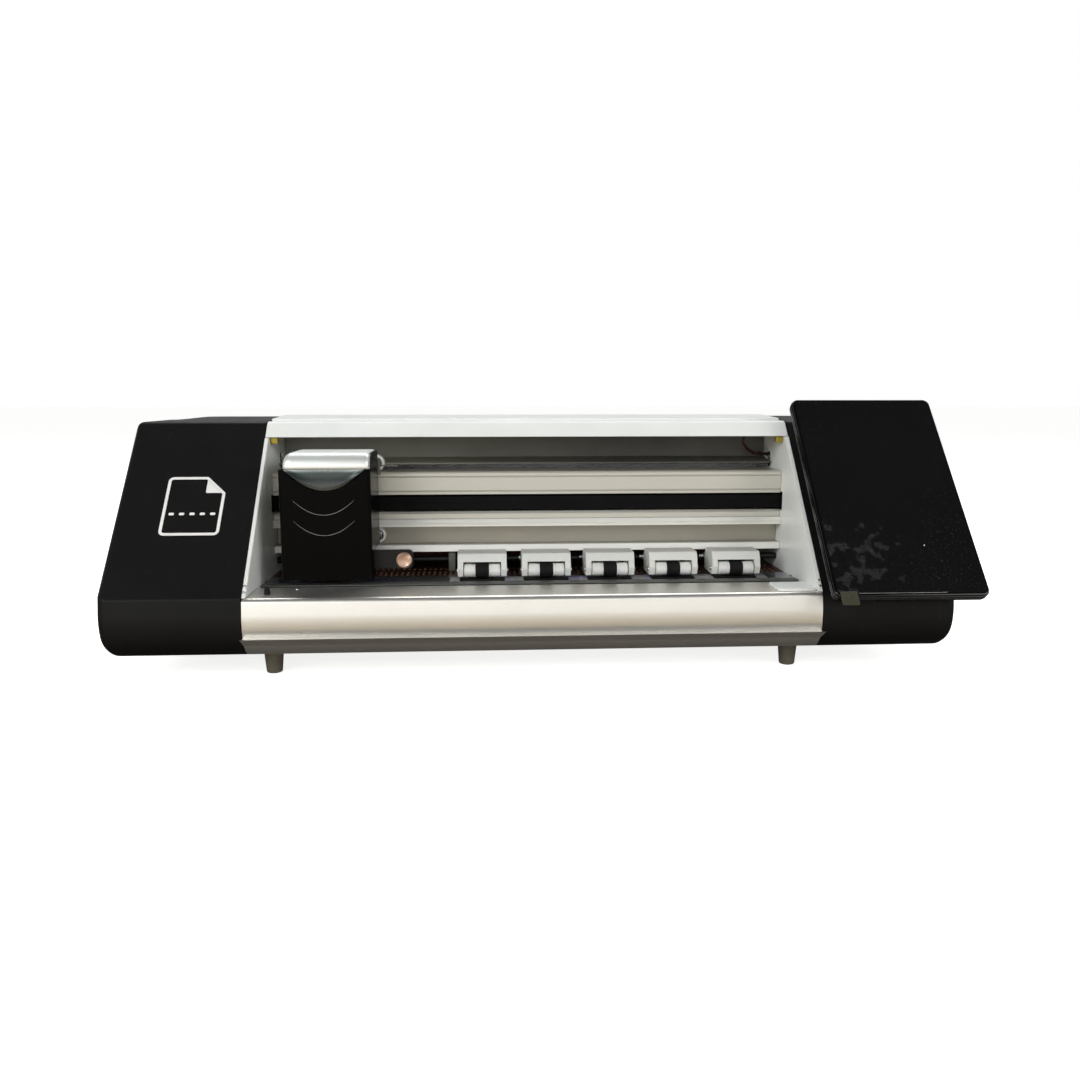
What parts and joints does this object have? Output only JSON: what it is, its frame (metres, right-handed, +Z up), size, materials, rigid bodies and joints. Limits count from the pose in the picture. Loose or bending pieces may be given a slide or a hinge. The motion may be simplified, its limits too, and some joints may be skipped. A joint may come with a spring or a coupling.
{
  "type": "vinyl cutter",
  "caption": "Desktop roll-fed vinyl and film cutter: belt-driven tool carriage on a gantry rail, sprung pinch rollers over a driven feed shaft, slanted touch screen.",
  "frame": {"origin": "middle of the bounding box at the ground, under the feet", "axes": "+X to the right as the user faces the screen, +Y to the back, +Z up"},
  "size_m": [0.6334, 0.1984, 0.2023],
  "materials": {
    "white_paint": "smooth off-white powder coat",
    "cap_black": "satin charcoal, fine texture",
    "silver_extrusion": "bright satin anodised",
    "rail_aluminium": "clear anodised",
    "grey_plate": "light grey coat",
    "bright_steel": "ground and polished",
    "zinc_yellow": "yellow zinc plating",
    "rubber_black": "matt black rubber",
    "strip_grey": "dull grey cutting strip",
    "nylon_white": "milky white nylon",
    "carriage_black": "satin black",
    "carriage_silver": "metallic silver-grey lacquer",
    "moulded_black": "fine moulded texture",
    "motor_black": "black enamel",
    "gloss_black": "high gloss",
    "copper_screw": "copper plated, turned",
    "foot_rubber": "translucent grey rubber",
    "guide_brown": "dark brown laminate",
    "board_green": "solder mask",
    "lamp_white": "diffuser",
    "wire_red": "insulated wire",
    "light_grey_line": "printed light grey",
    "white_print": "printed white",
    "clear_film": "thin clear protective film"
  },
  "bodies": {
    "chassis": {"left_side_plate": "white_paint", "right_side_plate": "white_paint", "left_end_cap": "cap_black", "right_end_cap": "cap_black", "front_extrusion": "silver_extrusion", "top_beam": "white_paint", "led_strip": "lamp_white", "top_cover": "white_paint", "rear_baffle": "grey_plate", "base_plate": "grey_plate", "gantry_rail": "rail_aluminium", "platen": "grey_plate", "cutting_strip": "strip_grey", "rear_guide": "guide_brown", "front_left_foot": "foot_rubber", "front_right_foot": "foot_rubber", "rear_left_foot": "foot_rubber", "rear_right_foot": "foot_rubber", "left_corner_block": "zinc_yellow", "right_corner_block": "zinc_yellow", "lamp_wire": "wire_red", "carriage_motor": "motor_black", "feed_motor": "motor_black", "idler_bracket": "bright_steel", "carriage_belt": "rubber_black", "left_shaft_bearing": "bright_steel", "right_shaft_bearing": "bright_steel", "pinch_pivot_rod": "bright_steel", "control_board": "board_green", "power_inlet": "moulded_black", "data_socket": "bright_steel", "screen_shell": "moulded_black", "screen_glass": "gloss_black", "screen_bracket": "moulded_black"},
    "feed": {"feed_shaft": "bright_steel", "shaft_coupling": "rail_aluminium"},
    "carriage": {"carriage_sled": "grey_plate", "carriage_cover": "carriage_black", "carriage_top": "carriage_silver", "tool_arm": "moulded_black"},
    "motor_pulley_turn": {"motor_pulley": "bright_steel"},
    "idler_pulley_turn": {"idler_pulley": "bright_steel"},
    "wheel_upper_left": {"upper_left_wheel": "nylon_white"},
    "wheel_upper_right": {"upper_right_wheel": "nylon_white"},
    "wheel_lower_left": {"lower_left_wheel": "nylon_white"},
    "wheel_lower_right": {"lower_right_wheel": "nylon_white"},
    "tool": {"tool_holder": "moulded_black"},
    "blade": {"blade_holder": "bright_steel"},
    "thumb": {"thumb_screw": "copper_screw"},
    "rocker": {"power_rocker": "gloss_black"},
    "pinch_1": {"pinch_arm_1": "nylon_white"},
    "roller_1": {"pinch_roller_1": "rubber_black"},
    "pinch_2": {"pinch_arm_2": "nylon_white"},
    "roller_2": {"pinch_roller_2": "rubber_black"},
    "pinch_3": {"pinch_arm_3": "nylon_white"},
    "roller_3": {"pinch_roller_3": "rubber_black"},
    "pinch_4": {"pinch_arm_4": "nylon_white"},
    "roller_4": {"pinch_roller_4": "rubber_black"},
    "pinch_5": {"pinch_arm_5": "nylon_white"},
    "roller_5": {"pinch_roller_5": "rubber_black"}
  },
  "joints": [
    {"name": "feed_spin", "type": "hinge", "parent": "chassis", "child": "feed", "pos_m": [-0.0067, -0.01298, 0.056], "axis": [1, 0, 0], "continuous": true},
    {"name": "pinch_lift_1", "type": "hinge", "parent": "chassis", "child": "pinch_1", "pos_m": [-0.0462, 0.02702, 0.073], "axis": [-1, 0, 0], "range_deg": [0, 4], "stiffness_Nm_per_rad": 1, "springref_deg": -11.46},
    {"name": "roller_spin_1", "type": "hinge", "parent": "pinch_1", "child": "roller_1", "pos_m": [-0.0462, -0.01298, 0.0706], "axis": [1, 0, 0], "continuous": true},
    {"name": "pinch_lift_2", "type": "hinge", "parent": "chassis", "child": "pinch_2", "pos_m": [0.0038, 0.02702, 0.073], "axis": [-1, 0, 0], "range_deg": [0, 4], "stiffness_Nm_per_rad": 1, "springref_deg": -11.46},
    {"name": "roller_spin_2", "type": "hinge", "parent": "pinch_2", "child": "roller_2", "pos_m": [0.0038, -0.01298, 0.0706], "axis": [1, 0, 0], "continuous": true},
    {"name": "pinch_lift_3", "type": "hinge", "parent": "chassis", "child": "pinch_3", "pos_m": [0.0538, 0.02702, 0.073], "axis": [-1, 0, 0], "range_deg": [0, 4], "stiffness_Nm_per_rad": 1, "springref_deg": -11.46},
    {"name": "roller_spin_3", "type": "hinge", "parent": "pinch_3", "child": "roller_3", "pos_m": [0.0538, -0.01298, 0.0706], "axis": [1, 0, 0], "continuous": true},
    {"name": "pinch_lift_4", "type": "hinge", "parent": "chassis", "child": "pinch_4", "pos_m": [0.1038, 0.02702, 0.073], "axis": [-1, 0, 0], "range_deg": [0, 4], "stiffness_Nm_per_rad": 1, "springref_deg": -11.46},
    {"name": "roller_spin_4", "type": "hinge", "parent": "pinch_4", "child": "roller_4", "pos_m": [0.1038, -0.01298, 0.0706], "axis": [1, 0, 0], "continuous": true},
    {"name": "pinch_lift_5", "type": "hinge", "parent": "chassis", "child": "pinch_5", "pos_m": [0.1538, 0.02702, 0.073], "axis": [-1, 0, 0], "range_deg": [0, 4], "stiffness_Nm_per_rad": 1, "springref_deg": -11.46},
    {"name": "roller_spin_5", "type": "hinge", "parent": "pinch_5", "child": "roller_5", "pos_m": [0.1538, -0.01298, 0.0706], "axis": [1, 0, 0], "continuous": true},
    {"name": "carriage_slide", "type": "slide", "parent": "chassis", "child": "carriage", "axis": [1, 0, 0], "range_m": [-0.01, 0.29]},
    {"name": "wheel_upper_left_spin", "type": "hinge", "parent": "carriage", "child": "wheel_upper_left", "pos_m": [-0.1907, 0.02652, 0.152], "axis": [0, 1, 0], "continuous": true},
    {"name": "wheel_upper_right_spin", "type": "hinge", "parent": "carriage", "child": "wheel_upper_right", "pos_m": [-0.1307, 0.02652, 0.152], "axis": [0, 1, 0], "continuous": true},
    {"name": "wheel_lower_left_spin", "type": "hinge", "parent": "carriage", "child": "wheel_lower_left", "pos_m": [-0.1907, 0.02432, 0.094], "axis": [0, 1, 0], "continuous": true},
    {"name": "wheel_lower_right_spin", "type": "hinge", "parent": "carriage", "child": "wheel_lower_right", "pos_m": [-0.1307, 0.02432, 0.094], "axis": [0, 1, 0], "continuous": true},
    {"name": "motor_pulley_spin", "type": "hinge", "parent": "chassis", "child": "motor_pulley_turn", "pos_m": [-0.2427, 0.03002, 0.1197], "axis": [0, 0, 1], "continuous": true},
    {"name": "idler_pulley_spin", "type": "hinge", "parent": "chassis", "child": "idler_pulley_turn", "pos_m": [0.2293, 0.03002, 0.1197], "axis": [0, 0, 1], "continuous": true},
    {"name": "tool_press", "type": "slide", "parent": "carriage", "child": "tool", "axis": [0, 0, 1], "range_m": [-0.003, 0], "stiffness_N_per_m": 100, "springref_m": 0.012},
    {"name": "blade_swivel", "type": "hinge", "parent": "tool", "child": "blade", "pos_m": [-0.1607, -0.03098, 0.1], "axis": [0, 0, 1], "continuous": true},
    {"name": "thumb_screw_turn", "type": "hinge", "parent": "carriage", "child": "thumb", "pos_m": [-0.1047, -0.02898, 0.083], "axis": [0, 1, 0], "range_deg": [-180, 180]},
    {"name": "power_rock", "type": "hinge", "parent": "chassis", "child": "rocker", "pos_m": [0.2583, 0.09542, 0.044], "axis": [1, 0, 0], "range_deg": [0, 14]}
  ],
  "couplings": [
    {"joint": "roller_spin_1", "follows": "feed_spin", "ratio": -1.2698},
    {"joint": "roller_spin_2", "follows": "feed_spin", "ratio": -1.2698},
    {"joint": "roller_spin_3", "follows": "feed_spin", "ratio": -1.2698},
    {"joint": "roller_spin_4", "follows": "feed_spin", "ratio": -1.2698},
    {"joint": "roller_spin_5", "follows": "feed_spin", "ratio": -1.2698},
    {"joint": "wheel_upper_left_spin", "follows": "carriage_slide", "rad_per_m": 149.25},
    {"joint": "wheel_upper_right_spin", "follows": "carriage_slide", "rad_per_m": 149.25},
    {"joint": "wheel_lower_left_spin", "follows": "carriage_slide", "rad_per_m": -149.25},
    {"joint": "wheel_lower_right_spin", "follows": "carriage_slide", "rad_per_m": -149.25},
    {"joint": "motor_pulley_spin", "follows": "carriage_slide", "rad_per_m": 112.36},
    {"joint": "idler_pulley_spin", "follows": "carriage_slide", "rad_per_m": 112.36}
  ]
}
